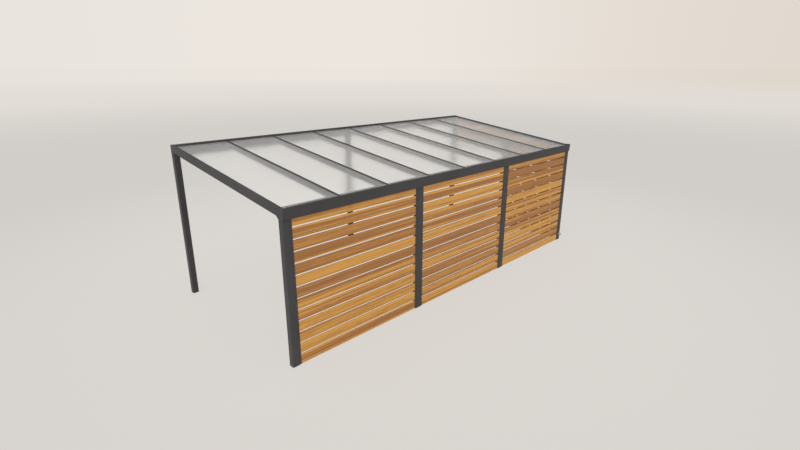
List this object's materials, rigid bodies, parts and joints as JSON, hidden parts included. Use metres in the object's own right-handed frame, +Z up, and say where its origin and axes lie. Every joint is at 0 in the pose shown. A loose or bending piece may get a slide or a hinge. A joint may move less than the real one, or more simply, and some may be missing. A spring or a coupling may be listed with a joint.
{
  "type": "carport",
  "caption": "Free-standing mono-pitch carport: dark metal frame, frosted glass roof, front gutter, timber-slatted front and half-closed end, open rear and drive-in side.",
  "frame": {"origin": "on the ground, at the middle of the object's box seen from above", "axes": "+X along the roof to the right as seen from the slatted front, +Y from the slatted front to the open rear, +Z up"},
  "size_m": [7.4, 3.383, 2.661],
  "materials": {
    "frame_coat": "fine-textured anthracite powder coat on aluminium profiles",
    "frosted_glass": "laminated safety glass, satin frosted",
    "timber": "oiled larch-tone boards with streaked grain",
    "grey_plastic": "light grey moulded pipe"
  },
  "bodies": {
    "root": {"drain_spout": "grey_plastic", "end_lower_slats": "timber", "end_upper_slats": "timber", "end_wall_channels": "frame_coat", "end_wall_post": "frame_coat", "end_wall_transom": "frame_coat", "front_channels_1": "frame_coat", "front_channels_2": "frame_coat", "front_channels_3": "frame_coat", "front_gutter_beam": "frame_coat", "front_left_post": "frame_coat", "front_right_post": "frame_coat", "front_second_post": "frame_coat", "front_slats_1": "timber", "front_slats_2": "timber", "front_slats_3": "timber", "front_third_post": "frame_coat", "gutter_end_caps": "frame_coat", "gutter_fascia": "frame_coat", "left_end_rafter": "frame_coat", "rafter_1": "frame_coat", "rafter_2": "frame_coat", "rafter_3": "frame_coat", "rafter_4": "frame_coat", "rafter_5": "frame_coat", "rafter_6": "frame_coat", "rafter_7": "frame_coat", "rafter_rail": "frame_coat", "rear_beam": "frame_coat", "rear_beam_end_caps": "frame_coat", "rear_left_post": "frame_coat", "rear_middle_post": "frame_coat", "rear_right_post": "frame_coat", "right_end_rafter": "frame_coat", "roof_cover_strips": "frame_coat", "roof_end_trims": "frame_coat", "roof_panel_1": "frosted_glass", "roof_panel_2": "frosted_glass", "roof_panel_3": "frosted_glass", "roof_panel_4": "frosted_glass", "roof_panel_5": "frosted_glass", "roof_panel_6": "frosted_glass", "roof_panel_7": "frosted_glass", "roof_panel_8": "frosted_glass"}
  },
  "joints": []
}
